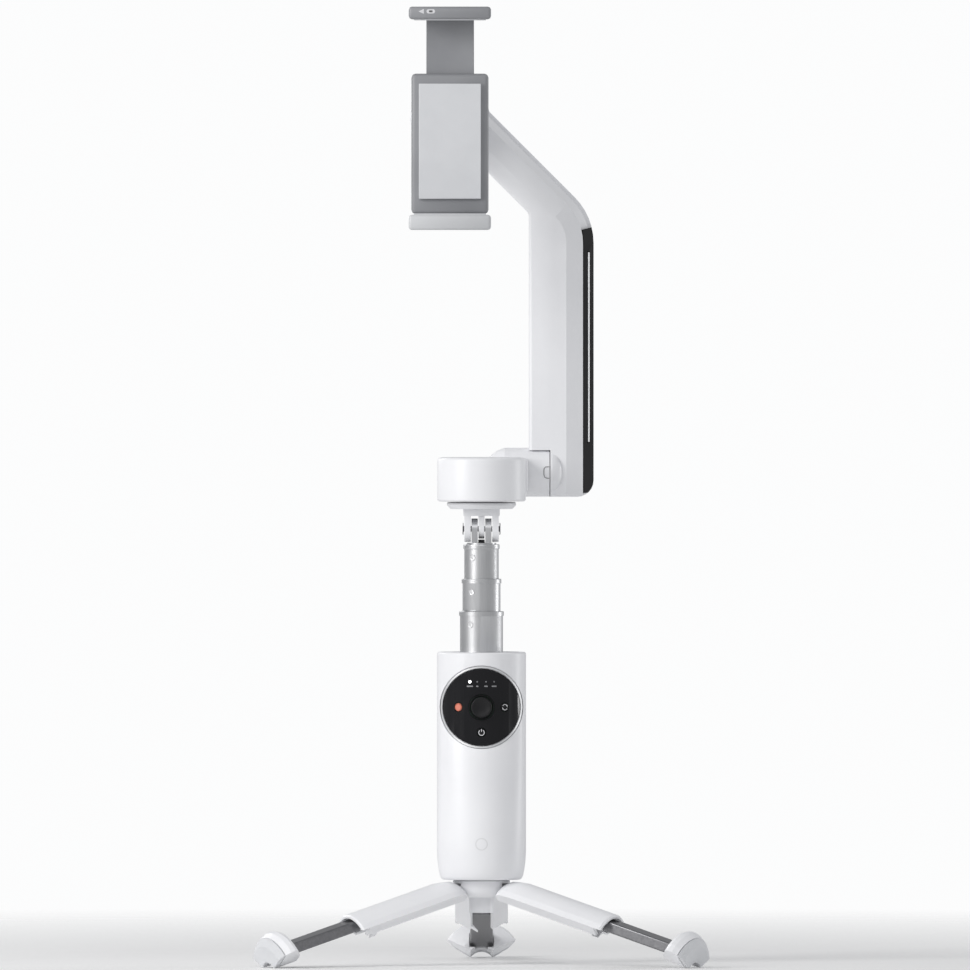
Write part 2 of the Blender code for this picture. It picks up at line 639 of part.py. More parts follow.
def arm():
    shell = prism("arm_shell", arm_outline(), ARM_FRONT, ARM_BACK, PARTS)
    round_edges(shell, 1.2)
    fold = (0, FOLD_Y, FOLD_Z)
    roll = (ROLL_X, 0, ROLL_Z)
    outside = [(50, ARM_FRONT + 13.7), (50, ARM_FRONT - 4), (34, ARM_FRONT - 4)]
    edge_cut = swept_edge(
        "arm_edge_cut", [*FACET, *STRIP_BED, *outside], CUTTERS, ARM_LOW - 5, BEND_Z, math.radians(45), 60
    )
    seam = BARREL_RIGHT + GAP
    barrel_cut = cylinder("barrel_clearance", BARREL_R + GAP, 10, seam, CUTTERS, at=fold, aim="X", steps=48)
    window_top = FOLD_Z + BARREL_R - 0.9
    window_cut = box("barrel_window", (10, 10, ARM_LOW - 5), (seam, FOLD_Y, window_top), CUTTERS)
    dome = [(0, seam), (BOSS_R, seam), (BOSS_R, 28.4), (9.4, 29.8), (8.6, 31), (7.4, 32), (5, 33), (0, 33.5)]
    join(shell, turned("fold_boss", dome, CUTTERS, at=fold, aim="X", steps=48))
    pin_cut = cylinder("arm_pin_hole", 2.9, 12, 31.8, CUTTERS, at=fold, aim="X", steps=24)
    cover_cut = box("cover_recess", (22, ARM_BACK - 1.5, 212), (41, ARM_BACK + 5, 292), CUTTERS)
    shaft_cut = cylinder("roll_shaft_hole", 3.3, 10, 35, CUTTERS, at=roll, aim="Y", steps=24)
    lid_cut = cylinder("roll_lid_recess", 13.3, ARM_BACK - 1.5, 60, CUTTERS, at=roll, aim="Y", steps=32)
    cut(shell, edge_cut, barrel_cut, window_cut, pin_cut, cover_cut, shaft_cut, lid_cut)
    finish(shell, WHITE, "arm_fold")
    cover = box("arm_back_cover", (22.3, ARM_BACK - 1.2, 212.3), (40.7, ARM_BACK, 291.7), PARTS)
    finish(cover, WHITE, "arm_fold")
    lid = [(0, ARM_BACK), (12.6, ARM_BACK), (13, ARM_BACK - 0.4), (13, ARM_BACK - 1.2), (0, ARM_BACK - 1.2)]
    finish(turned("roll_motor_cover", lid, PARTS, at=roll, aim="Y", steps=32), WHITE, "arm_fold")


def side_strip():
    lowest = ARM_LOW + 1.5
    strip = swept_edge("arm_side_strip", STRIP, PARTS, lowest, BEND_Z, math.radians(14))
    boolean(strip, prism("strip_keep", arm_outline(), ARM_FRONT - 5, ARM_BACK + 5, CUTTERS), "INTERSECT")
    foot, top = Vector((*STRIP[0], 0)), Vector((*STRIP[1], 0))
    across = (top - foot).normalized()
    outward = Vector((across.y, -across.x, 0))
    middle = (foot + top) / 2
    for name, half, depth, proud, low, high, where in (
        ("trim_groove", 0.9, 0.7, 1.0, 208.2, 285.0, CUTTERS),
        ("arm_trim_line", 0.6, 0.4, 0.15, 208.5, 284.7, PARTS),
    ):
        corners = [
            middle + across * a + outward * b
            for a, b in ((-half, -depth), (half, -depth), (half, proud), (-half, proud))
        ]
        line = swept_edge(name, [(point.x, point.y) for point in corners], where, low, high)
        if where is CUTTERS:
            cut(strip, line)
        else:
            finish(line, ALUMINIUM, "arm_fold")
    finish(strip, BLACK_GLOSS, "arm_fold")


# ---- roll, tilt and clamp ----


def roll_motor():
    at = (ROLL_X, 0, ROLL_Z)
    shaft = [(0, 34), (3, 34), (3, 25.2)]
    disc = [(15, 25.2), (15.5, 24.7), (15.5, 20.7), (15, 20.2), (0, 20.2)]
    finish(turned("roll_rotor", shaft + disc, PARTS, at=at, aim="Y", steps=36), WHITE, "roll_axis")
    half = 9.0
    low, high = ROLL_Z - half, ROLL_Z + half
    bracket = box("roll_bracket", (-27, 16.4, low), (-2, 19.9, high), PARTS)
    side = arc((0, ROLL_Z), half, 90, 270, 12) + [(19.9, low), (19.9, high)]
    cheek = prism("bracket_cheek", side, -27, -23.2, CUTTERS, plane="YZ")
    round_edges(bracket, 0.8)
    join(bracket, cheek)
    finish(bracket, WHITE, "roll_axis")
    can = [(0, -6.3), (9.1, -6.3), (TILT_R, -6.8), (TILT_R, -22.4), (9.1, -22.9), (0, -22.9)]
    finish(turned("tilt_motor_can", can, PARTS, at=(0, 0, ROLL_Z), aim="X", steps=32), DARK_METAL, "roll_axis")


def tilt_parts():
    bracket = cylinder("tilt_bracket", TILT_R, -6, -2.6, PARTS, at=(0, 0, ROLL_Z), aim="X", steps=40)
    plate = box("tilt_plate", (-22.5, -14, ROLL_Z - 9.6), (-2.6, -11, ROLL_Z + 9.6), CUTTERS)
    web = box("tilt_web", (-6, -13, ROLL_Z - 9.2), (-2.6, 0, ROLL_Z + 9.2), CUTTERS)
    join(bracket, web, plate)
    finish(bracket, WHITE, "tilt_axis")
    plate = [(0, 16.2), (10.6, 16.2), (11, 15.8), (11, 14.3), (0, 14.3)]
    magnet = turned("magnet_plate", plate, PARTS, at=(ROLL_X, 0, ROLL_Z), aim="-Y", steps=36)
    finish(magnet, ALUMINIUM, "tilt_axis")


def clamp():
    body = box("clamp_body", (-28, CLAMP_FRONT, 300), (2.8, CLAMP_BACK, 356), PARTS)
    round_edges(body, 1.6)
    cut(body, box("slider_channel", (-22.4, -22, 303), (-2.6, -18.5, 360), CUTTERS))
    finish(body, GREY, "tilt_axis")
    pad = box("clamp_pad", (-25, CLAMP_FRONT - 1.6, 306), (-0.2, CLAMP_FRONT - GAP, 352), PARTS)
    finish(pad, RUBBER, "tilt_axis")


def jaw(name, low, high, face, look, home):
    """A jaw lip with a pad let into its gripping face, which is at height face."""
    lip = box(name, (CLAMP_LEFT, JAW_FRONT, low), (CLAMP_RIGHT, CLAMP_BACK - 0.3, high), PARTS)
    round_edges(lip, 1.2)
    inward = 1 if face > high else -1
    bed = sorted((face - inward * 1.9, face + inward * 5))
    cut(lip, box(name + "_pad_bed", (-27.3, -38.3, bed[0]), (2.1, -26.7, bed[1]), CUTTERS))
    sheet = sorted((face, face - inward * 1.6))
    finish(box(name + "_pad", (-27, -38, sheet[0]), (1.8, -27, sheet[1]), PARTS), RUBBER, home)
    return finish(lip, look, home)


def jaws():
    jaw("lower_jaw", 293.6, PHONE_LOW - 0.5, PHONE_LOW, PALE_GREY, "tilt_axis")
    upper = jaw("upper_jaw", PHONE_TOP + 0.5, 382.6, PHONE_TOP, GREY, "jaw_slide")
    join(upper, box("jaw_slider", (-22, -21.6, 317), (-3, -18.9, 380), CUTTERS))


clear_scene()
PARTS = new_collection("gimbal_stabilizer")
CUTTERS = new_collection("cutters")
CUTTERS.hide_render = True
joint_empty("stance", (0, 0, 0))
joint_empty("handle", (0, 0, 0), "stance")
handle_shell()
handle_top_cap()
panel_bezel()
control_panel()
buttons()
joystick()
trigger()
usb_port()
handle_insides()
tripod_hub()
legs()
stick()
stick_fork()
joint_empty("head_tilt", (0, STICK_Y, HEAD_Z), "stick_tube_upper_slide")
head_base()
joint_empty("pan_axis", (0, STICK_Y, PAN_LOW), "head_tilt")
pan_motor()
fold_yoke()
joint_empty("arm_fold", (0, FOLD_Y, FOLD_Z), "pan_axis")
arm()
side_strip()
joint_empty("roll_axis", (ROLL_X, 0, ROLL_Z), "arm_fold")
roll_motor()
joint_empty("tilt_axis", (ROLL_X, 0, ROLL_Z), "roll_axis")
tilt_parts()
clamp()
joint_empty("jaw_slide", (ROLL_X, 0, PHONE_TOP), "tilt_axis")
jaws()
for helper in CUTTERS.objects:
    helper.hide_render = True
    helper.display_type = "WIRE"
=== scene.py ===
"""The looks of the gimbal stabilizer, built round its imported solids.

Sizes are in millimetres and scaled by MM, unless a comment says otherwise.
"""

import json
import math

import bmesh
import bpy
from mathutils import Matrix, Vector


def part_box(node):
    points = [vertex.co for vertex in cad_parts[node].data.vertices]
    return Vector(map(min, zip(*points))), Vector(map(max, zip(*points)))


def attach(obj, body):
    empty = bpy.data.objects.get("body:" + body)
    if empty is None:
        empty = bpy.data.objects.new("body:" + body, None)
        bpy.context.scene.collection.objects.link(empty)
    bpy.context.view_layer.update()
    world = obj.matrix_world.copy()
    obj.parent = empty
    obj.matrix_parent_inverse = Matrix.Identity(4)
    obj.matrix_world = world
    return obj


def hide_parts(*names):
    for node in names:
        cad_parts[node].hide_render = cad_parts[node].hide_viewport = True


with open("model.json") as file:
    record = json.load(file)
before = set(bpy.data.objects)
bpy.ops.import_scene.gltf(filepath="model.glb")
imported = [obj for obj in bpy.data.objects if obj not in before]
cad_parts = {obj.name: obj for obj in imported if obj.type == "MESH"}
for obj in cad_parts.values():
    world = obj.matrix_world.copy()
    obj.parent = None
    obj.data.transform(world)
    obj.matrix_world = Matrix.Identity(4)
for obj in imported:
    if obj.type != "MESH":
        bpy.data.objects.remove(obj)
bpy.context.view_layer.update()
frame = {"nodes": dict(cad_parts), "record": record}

MM = 0.001
TUBES = ("stick_tube_lower", "stick_tube_middle", "stick_tube_upper")


def corners(node):
    """A CAD node's lowest and highest corners, in millimetres."""
    low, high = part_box(node)
    return low / MM, high / MM


def middle(node):
    low, high = corners(node)
    return (low + high) / 2


def half_width(node):
    low, high = corners(node)
    return (high.x - low.x) / 2


# The handle's upright axis, and how far its wall, panel and buttons stand from it.
AXIS = middle("handle_shell")
HANDLE_R = half_width("handle_shell")
PANEL = middle("control_panel")
PANEL_FACE = AXIS.y - corners("control_panel")[0].y
BUTTON_FACE = AXIS.y - corners("power_button")[0].y
STICK = middle("stick_tube_lower")

# Camera, in metres and degrees: a very long lens, level with the object's middle and looking slightly down.
CAMERA_DISTANCE = 10.0
CAMERA_LIFT = 0.6
VIEW_WIDTH = 0.388
VIEW_CENTRE = Vector((1.4, AXIS.y, 191.6)) * MM
SENSOR = 36.0

# The room: the colour behind the object, and the colour and strength of what its surfaces mirror.
BACKDROP = (0.975, 0.978, 0.98)
ROOM_COLOUR = (0.97, 0.98, 1)
ROOM_LIGHT = 0.42

# Edges, with angles in degrees: what is welded, flat or a crease, and how wide each edge is rounded.
WELD = 0.002
FLAT_ANGLE = 0.6
CREASE_ANGLE = 28
EDGE_WIDTH = 0.25
EDGE_WIDTHS = {
    "control_board": 0.1, "usb_port": 0.1, "thread_insert": 0.15, "arm_trim_line": 0.12,
    "joystick_yoke": 0.1, "panel_bezel": 0.12, "control_panel": 0.15, "arm_side_strip": 0.2,
}

# Joystick: points of (radius, depth) for its cap's dish and rim, and of (inset, depth) down the cap's side.
TURN_STEPS = 64
DISH = [(0, 0.75), (1.2, 0.72), (2.2, 0.5), (3, 0.22), (3.5, 0.03)]
RIM_TOP = [(3.75, 0), (3.95, 0.08)]
RIM_SIDE = [(0.03, 0.35), (0, 0.8), (0.05, 1.3), (0.25, 1.6)]
UNDERSIDE = [(3.4, 1.75), (1.6, 1.75)]
POST_R = 1.5
POST_FOOT = 0.05
RING_WALL = 0.4
RING_BREAK = 0.08
RING_DROP = 0.3

# Marks on the panel: heights above its middle, and places and widths across it from the handle's axis.
LAMP_UP = 10.2
LABEL_UP = 8.4
LABEL_HEIGHT = 0.55
LAMPS = (-4.7, -1.7, 1.8, 5.1)
LABEL_WIDTHS = (2.6, 0.9, 1.4, 2.0)
LIT_R = 0.6
DIM_R = 0.32

# Marks on the buttons, about each button's middle, with arcs in degrees.
ICON_R = 1.1
SWITCH_ARC = (25, 150)
SWITCH_LINE = 0.26
SWITCH_TIP = 0.46
POWER_ARC = (125, 415)
POWER_LINE = 0.28
POWER_DROP = 0.1
POWER_BAR_UP = 0.75
POWER_BAR_HEIGHT = 1.1
RECORD_R = 1.3
RECORD_LINE = 0.2

# The faint ring low on the handle.
MARK_Z = 48.3
MARK_R = 2.3
MARK_LINE = 0.5

# Marks on the upper jaw, measured from its upper left corner.
JAW_MARK_DOWN = 1.9
ARROW_ACROSS = 5.2
ARROW_SIZE = 1.3
PILL_ACROSS = 8.8
PILL = (3.4, 1.7, 0.8)
PILL_CORE = (1.5, 0.8, 0.35)
PILL_CORE_LIFT = 0.03

# The fold latch's line, measured from the seam and the fold's axis.
LATCH_TOP = [(-0.2, 2.3), (-1.6, 2.2), (-2.2, 1.6), (-2.3, 0.6)]
LATCH_FOOT = [(-2.3, -0.8), (-2, -1.9), (-1.2, -2.3), (-0.2, -2.4)]
LATCH_LINE = 0.45

# Stops on the tubes: how far below the top, how far round as a share of the radius, and their own radii; the
# rim radius and line size a ring of painted shade round each stop.
TUBE_COLLAR = 0.35
DIMPLE_DOWN = 5.3
DIMPLE_ROUND = 0.55
DIMPLE_R = 1.15
DIMPLE_RIM_R = 1.2
DIMPLE_LINE = 0.22

# The bumper between the fork's lugs, above the upper tube.
BUMPER = (2.6, 7.4, 1.5)
BUMPER_UP = 1.15
BUMPER_EDGE = 0.15

FLOOR_R = 900
FLOOR_DROP = 0.2


# ---- camera, floor and light ----


def add_camera():
    lens = bpy.data.cameras.new("camera")
    lens.sensor_width = SENSOR
    lens.lens = SENSOR * CAMERA_DISTANCE / VIEW_WIDTH
    lens.clip_end = 50
    camera = bpy.data.objects.new("camera", lens)
    bpy.context.scene.collection.objects.link(camera)
    lift = math.radians(CAMERA_LIFT)
    back = Vector((0, -math.cos(lift), math.sin(lift)))
    camera.location = VIEW_CENTRE + back * CAMERA_DISTANCE
    camera.rotation_euler = (-back).to_track_quat("-Z", "Y").to_euler()
    bpy.context.scene.camera = camera


def add_light(name, place, size, power, colour=(1, 1, 1)):
    """A rectangular light, placed and sized in metres, that points at the middle of the view."""
    data = bpy.data.lights.new(name, "AREA")
    data.shape = "RECTANGLE"
    data.size, data.size_y = size
    data.energy = power
    data.color = colour
    light = bpy.data.objects.new(name, data)
    bpy.context.scene.collection.objects.link(light)
    light.location = place
    aim = VIEW_CENTRE - Vector(place)
    light.rotation_euler = aim.to_track_quat("-Z", "Y").to_euler()


def add_world():
    """A plain room: bright behind the object, and a softer grey in what its surfaces mirror."""
    world = bpy.data.worlds.new("studio")
    bpy.context.scene.world = world
    world.use_nodes = True
    tree = world.node_tree
    seen = tree.nodes["Background"]
    seen.inputs["Color"].default_value = (*BACKDROP, 1)
    lit = tree.nodes.new("ShaderNodeBackground")
    lit.inputs["Color"].default_value = (*ROOM_COLOUR, 1)
    lit.inputs["Strength"].default_value = ROOM_LIGHT
    path = tree.nodes.new("ShaderNodeLightPath")
    share = tree.nodes.new("ShaderNodeMixShader")
    tree.links.new(path.outputs["Is Camera Ray"], share.inputs[0])
    tree.links.new(lit.outputs[0], share.inputs[1])
    tree.links.new(seen.outputs[0], share.inputs[2])
    tree.links.new(share.outputs[0], tree.nodes["World Output"].inputs["Surface"])


def add_studio():
    bpy.context.scene.view_settings.view_transform = "Standard"
    add_world()
    add_light("key", place=(-0.92, -0.68, 0.62), size=(0.5, 0.8), power=8.4, colour=(1, 0.99, 0.98))
    add_light("fill", place=(0, -1.0, 0.85), size=(0.5, 0.4), power=1.9)
    add_light("right_strip", place=(1.25, 0.45, 0.35), size=(0.14, 1.1), power=4.2)
    add_light("back_left", place=(-1.0, 1.4, 0.8), size=(0.5, 0.9), power=5)


# ---- shader nodes ----


class Value:
    """A socket that takes part in Python expressions. Each operator adds a Math node."""

    def __init__(self, finish, socket):
        self.finish = finish
        self.socket = socket

    def math(self, operation, first, second):
        return self.finish.node("ShaderNodeMath", {"operation": operation}, {0: first, 1: second})

    def __add__(self, other):
        return self.math("ADD", self, other)

    def __radd__(self, other):
        return self.math("ADD", other, self)

    def __sub__(self, other):
        return self.math("SUBTRACT", self, other)

    def __rsub__(self, other):
        return self.math("SUBTRACT", other, self)

    def __mul__(self, other):
        return self.math("MULTIPLY", self, other)

    def __rmul__(self, other):
        return self.math("MULTIPLY", other, self)


class Finish:
    """A material under construction: its Principled shader and the nodes that feed it."""

    def __init__(self, name, **constants):
        self.material = bpy.data.materials.new(name)
        self.material.use_nodes = True
        self.tree = self.material.node_tree
        self.shader = self.tree.nodes["Principled BSDF"]
        for socket, value in constants.items():
            self.set(socket.replace("_", " "), value)

    def feed(self, socket, value):
        """Gives a socket a link, a colour or a plain number."""
        if isinstance(value, Value):
            self.tree.links.new(value.socket, socket)
        elif isinstance(value, tuple) and socket.type == "RGBA":
            socket.default_value = (*value, 1)
        else:
            socket.default_value = value

    def set(self, socket, value):
        self.feed(self.shader.inputs[socket], value)
        return self

    def node(self, kind, settings=None, sockets=None, out=0):
        """Adds a node: its settings are set first, then its sockets' values and links."""
        made = self.tree.nodes.new(kind)
        for name, value in (settings or {}).items():
            if name == "stops":
                self.set_stops(made.color_ramp, value)
            else:
                setattr(made, name, value)
        for name, value in (sockets or {}).items():
            self.feed(made.inputs[name], value)
        return Value(self, made.outputs[out])

    def set_stops(self, ramp, stops):
        for place, _ in stops[2:]:
            ramp.elements.new(place)
        for element, (place, grey) in zip(ramp.elements, stops):
            element.position = place
            element.color = (grey, grey, grey, 1)

    def place(self):
        return self.node("ShaderNodeTexCoord", out="Object")

    def stretched(self, scale):
        return self.node("ShaderNodeMapping", None, {"Vector": self.place(), "Scale": scale})

    def noise(self, scale, detail=3.0, place=None, rough=0.5):
        """Noise whose scale is in cycles a metre."""
        sockets = {"Vector": place or self.place(), "Scale": scale, "Detail": detail, "Roughness": rough}
        return self.node("ShaderNodeTexNoise", None, sockets)

    def ramp(self, value, stops):
        return self.node("ShaderNodeValToRGB", {"stops": stops}, {"Fac": value})

    def mix(self, share, first, second):
        return self.node("ShaderNodeMix", {"data_type": "RGBA"}, {0: share, 6: first, 7: second}, out=2)

    def bump(self, height, depth):
        """Relief of that depth in millimetres."""
        sockets = {"Height": height, "Distance": depth * MM, "Strength": 1.0}
        return self.set("Normal", self.node("ShaderNodeBump", None, sockets))


def moulded(name, pale, deep, roughness, grain=0.012, grain_size=0.35, **constants):
    """Injection-moulded plastic: a fine spark-eroded grain, faint flow mottling and handling sheen."""
    finish = Finish(name, **constants)
    flow = finish.noise(35.0, 4.0)
    grain_noise = finish.noise(1000.0 / grain_size, 2.0)
    sheen = finish.noise(120.0, 3.0)
    finish.set("Base Color", finish.mix(finish.ramp(flow, [(0.35, 0), (0.65, 1)]), deep, pale))
    finish.set("Roughness", roughness - 0.05 + 0.08 * sheen + 0.04 * grain_noise)
    return finish.bump(grain_noise, grain)


def white_plastic():
    """The casings' white."""
    return moulded("white_satin_plastic", (0.875, 0.88, 0.9), (0.84, 0.845, 0.868), 0.36)


def grey_plastic():
    """The clamp body's and upper jaw's grey."""
    return moulded("grey_jaw_plastic", (0.3, 0.305, 0.32), (0.26, 0.265, 0.28), 0.42)


def pale_grey_plastic():
    """The lower jaw's grey."""
    return moulded("pale_grey_jaw_plastic", (0.62, 0.63, 0.645), (0.56, 0.57, 0.585), 0.42)


def black_plastic():
    """Satin black, for the joystick, the stick's sleeve and the fork's bumper."""
    pale, deep = (0.016, 0.016, 0.017), (0.01, 0.01, 0.011)
    return moulded("black_satin_plastic", pale, deep, 0.42, grain=0.02, Specular_IOR_Level=0.2)


def strip_plastic():
    """The arm's black strip: finely textured, and dull enough to stay dark when seen along its face."""
    pale, deep = (0.009, 0.009, 0.01), (0.005, 0.005, 0.006)
    return moulded("black_strip_plastic", pale, deep, 0.34, grain=0.01, Specular_IOR_Level=0.06)


def black_gloss():
    """Hard-coated black panel: deep, with faint wipe marks in its polish."""
    finish = Finish("black_gloss_panel", Specular_IOR_Level=0.3)
    wipes = finish.noise(300.0, 3.0, finish.stretched((1.0, 1.0, 0.25)))
    cloud = finish.noise(45.0, 4.0)
    finish.set("Base Color", finish.mix(cloud, (0.006, 0.006, 0.007), (0.012, 0.012, 0.014)))
    finish.set("Roughness", 0.1 + 0.1 * finish.ramp(wipes, [(0.45, 0), (0.75, 1)]) + 0.05 * cloud)
    return finish.bump(wipes, 0.002)


def drawn_metal(name, pale, deep, roughness, stretch):
    """Metal with fine lines drawn along one direction, which the stretch shortens."""
    finish = Finish(name, Metallic=1.0)
    lines = finish.noise(1.0, 3.0, finish.stretched(stretch), 0.6)
    cloud = finish.noise(60.0, 2.0)
    finish.set("Base Color", finish.mix(lines, deep, pale))
    finish.set("Roughness", roughness + 0.14 * lines + 0.06 * cloud)
    return finish.bump(lines, 0.006)


def brushed_aluminium():
    """The stick's metal, drawn lengthwise."""
    return drawn_metal("brushed_aluminium", (0.7, 0.705, 0.715), (0.54, 0.545, 0.555), 0.3, (4500, 4500, 90))


def satin_rim():
    """Bead-blasted aluminium, paler and softer than the tubes."""
    finish = Finish("satin_rim", Metallic=0.7)
    grain = finish.noise(2500.0, 3.0)
    finish.set("Base Color", finish.mix(grain, (0.72, 0.725, 0.735), (0.84, 0.845, 0.855)))
    finish.set("Roughness", 0.42 + 0.15 * grain)
    return finish.bump(grain, 0.01)


def dark_metal():
    """Dark steel, for the legs' bars, the pins, the port and the motors' cans."""
    return drawn_metal("dark_brushed_metal", (0.3, 0.3, 0.31), (0.17, 0.17, 0.18), 0.26, (900, 900, 900))


def brass():
    """The thread insert."""
    return drawn_metal("machined_brass", (0.85, 0.66, 0.34), (0.62, 0.45, 0.2), 0.22, (300, 300, 6000))


def pale_rubber():
    """Silicone rubber with a fine dusty grain."""
    finish = Finish("pale_rubber", Sheen_Weight=0.15)
    dust = finish.noise(2200.0, 3.0)
    cloud = finish.noise(90.0, 4.0)
    finish.set("Base Color", finish.mix(cloud, (0.62, 0.63, 0.65), (0.7, 0.71, 0.73)))
    finish.set("Roughness", 0.68 + 0.2 * dust)
    return finish.bump(dust, 0.03)


def coral_plastic():
    """The record button."""
    return moulded("coral_button_plastic", (0.72, 0.23, 0.16), (0.64, 0.18, 0.12), 0.36)


def board_green():
    """Circuit board with copper tracks under green lacquer."""
    finish = Finish("circuit_board")
    tracks = finish.node(
        "ShaderNodeTexBrick", None, {"Vector": finish.place(), "Scale": 900.0, "Mortar Size": 0.03}, out=1
    )
    finish.set("Base Color", finish.mix(tracks, (0.015, 0.11, 0.05), (0.05, 0.24, 0.1)))
    finish.set("Roughness", 0.3 + 0.2 * tracks)
    return finish.bump(tracks, 0.02)


def cell_blue():
    """Shrink-wrapped battery cell."""
    finish = Finish("battery_wrap")
    creases = finish.noise(200.0, 5.0, finish.stretched((1.0, 1.0, 0.3)))
    finish.set("Base Color", finish.mix(creases, (0.07, 0.12, 0.25), (0.12, 0.19, 0.36)))
    finish.set("Roughness", 0.25 + 0.25 * creases)
    return finish.bump(creases, 0.08)


FINISHES = {
    maker.__name__: maker().material
    for maker in (
        white_plastic, grey_plastic, pale_grey_plastic, black_gloss, black_plastic, brushed_aluminium,
        dark_metal, brass, pale_rubber, coral_plastic, board_green, cell_blue,
    )
}


def print_ink(name, deep, pale):
    """Flat ink, a little uneven in its cover: screen print for the marks, and painted shade for the latch's
    shadow line and the rings round the tube stops.
    """
    finish = Finish(name)
    cover = finish.noise(1500.0, 2.0)
    finish.set("Base Color", finish.mix(cover, deep, pale))
    finish.set("Roughness", 0.35 + 0.15 * cover)
    return finish.material


def lamp(name, colour, glow):
    """A small light-guide, brightest where the resin is clearest."""
    finish = Finish(name, Emission_Strength=glow)
    cloud = finish.noise(900.0, 2.0)
    shade = finish.mix(cloud, tuple(c * 0.8 for c in colour), colour)
    finish.set("Base Color", shade)
    finish.set("Emission Color", shade)
    finish.set("Roughness", 0.25 + 0.1 * cloud)
    return finish.material


INK = print_ink("printed_ink", (0.62, 0.62, 0.64), (0.8, 0.8, 0.82))
DULL_INK = print_ink("dull_ink", (0.2, 0.2, 0.21), (0.32, 0.32, 0.33))
SHADE_INK = print_ink("shade_line", (0.3, 0.3, 0.31), (0.38, 0.38, 0.39))
DARK_INK = print_ink("dark_ink", (0.1, 0.1, 0.105), (0.16, 0.16, 0.165))
GHOST = print_ink("ghost_mark", (0.74, 0.745, 0.76), (0.8, 0.805, 0.82))
CORAL_RIM = print_ink("coral_rim", (0.5, 0.12, 0.06), (0.58, 0.15, 0.08))
# Painted shade: the darker grey ring that stands for the shade at the edge of each tube's pressed stop.
STOP_RIM_SHADE = print_ink("stop_rim", (0.4, 0.4, 0.41), (0.5, 0.5, 0.51))


# ---- making pieces ----

SLOT_OF = {row["node"]: row["material_slot"] for row in frame["record"]["subparts"]}
BODY_OF = {node: body for body, nodes in frame["record"]["behaviour"]["bodies"].items() for node in nodes}


def keep_shape(bm):
    """Welds a triangulated solid and merges its flat faces again, so that its edges can be rounded."""
    bmesh.ops.remove_doubles(bm, verts=bm.verts, dist=WELD * MM)
    bmesh.ops.dissolve_limit(
        bm,
        angle_limit=math.radians(FLAT_ANGLE),
        use_dissolve_boundaries=False,
        verts=bm.verts,
        edges=bm.edges,
    )


def smooth(obj, angle=CREASE_ANGLE):
    """Shades an object smooth except across creases sharper than the angle."""
    obj.data.shade_smooth()
    obj.data.set_sharp_from_angle(angle=math.radians(angle))


def bevel(obj, width):
    """Rounds an object's sharp edges."""
    modifier = obj.modifiers.new("edges", "BEVEL")
    modifier.width = width * MM
    modifier.segments = 2
    modifier.limit_method = "ANGLE"
    modifier.angle_limit = math.radians(CREASE_ANGLE)
    modifier.use_clamp_overlap = True


def settle(obj, body, material):
    """Gives a piece its finish and the body that it rides on."""
    obj.data.materials.clear()
    obj.data.materials.append(material)
    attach(obj, body)
    return obj


def from_bmesh(name, bm, scale=MM):
    """Turns a bmesh into an object in the scene, with its faces all looking outwards."""
    bmesh.ops.recalc_face_normals(bm, faces=bm.faces)
    bmesh.ops.scale(bm, vec=(scale,) * 3, verts=bm.verts)
    mesh = bpy.data.meshes.new(name)
    bm.to_mesh(mesh)
    bm.free()
    obj = bpy.data.objects.new(name, mesh)
    bpy.context.scene.collection.objects.link(obj)
    return obj


def refined(node, material=None):
    """A smooth copy of a CAD node with its sharp edges broken, which stands for it."""
    bm = bmesh.new()
    bm.from_mesh(frame["nodes"][node].data)
    keep_shape(bm)
    obj = from_bmesh(node + "_finished", bm, scale=1.0)
    smooth(obj)
    bevel(obj, EDGE_WIDTHS.get(node, EDGE_WIDTH))
    slot = SLOT_OF[node]
    settle(obj, BODY_OF[node], material or FINISHES[slot])
    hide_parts(node)


def all_nodes():
    """A finished copy for every CAD node but the joystick's cap and ring, which are turned afresh."""
    looks = {"panel_bezel": satin_rim().material, "arm_side_strip": strip_plastic().material}
    for node in SLOT_OF:
        if node not in ("joystick_cap", "joystick_ring"):
            refined(node, looks.get(node))


# ---- joystick ----


def ring_of_points(bm, centre, radius, y):
    """One ring about the joystick's axis, or a single point where the radius is nothing."""
    count = TURN_STEPS if radius else 1
    angles = [2 * math.pi * i / count for i in range(count)]
    round_ring = [(centre.x + radius * math.cos(a), y, centre.z + radius * math.sin(a)) for a in angles]
    return [bm.verts.new(point) for point in round_ring]


def turned_forward(name, node, profile, back):
    """Turns a profile of (radius, distance before back) round the joystick's axis, in a CAD node's place."""
    centre = middle(node)
    bm = bmesh.new()
    rings = [ring_of_points(bm, centre, radius, back - reach) for radius, reach in profile]
    ends_on_axis = profile[-1][0] == 0
    for first, second in zip(rings, rings[1:] if ends_on_axis else rings[1:] + rings[:1]):
        for i in range(TURN_STEPS):
            face = [first[i % len(first)], first[(i + 1) % len(first)]]
            face += [second[(i + 1) % len(second)], second[i % len(second)]]
            bm.faces.new(list(dict.fromkeys(face)))
    obj = from_bmesh(name, bm)
    smooth(obj, angle=50)
    settle(obj, BODY_OF[node], FINISHES["black_plastic"])
    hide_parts(node)


def joystick_cap():
    """A dished cap with a raised rim and a skirt, on its post."""
    low, high = corners("joystick_cap")
    radius = (high.x - low.x) / 2
    depth = high.y - low.y
    profile = [(across, depth - down) for across, down in DISH + RIM_TOP]
    profile += [(radius - inwards, depth - down) for inwards, down in RIM_SIDE]
    profile += [(across, depth - down) for across, down in UNDERSIDE]
    profile += [(POST_R, POST_FOOT), (0, 0)]
    turned_forward("joystick_cap_finished", "joystick_cap", profile, high.y)


def joystick_ring():
    """The low ring round the post, which the cap's skirt clears."""
    low, high = corners("joystick_ring")
    outer = (high.x - low.x) / 2
    inner = outer - RING_WALL
    front = high.y - low.y - RING_DROP
    broken = front - RING_BREAK
    profile = [(inner, 0), (outer, 0), (outer, broken), (outer - RING_BREAK, front)]
    profile += [(inner + RING_BREAK, front), (inner, broken)]
    turned_forward("joystick_ring_finished", "joystick_ring", profile, high.y)
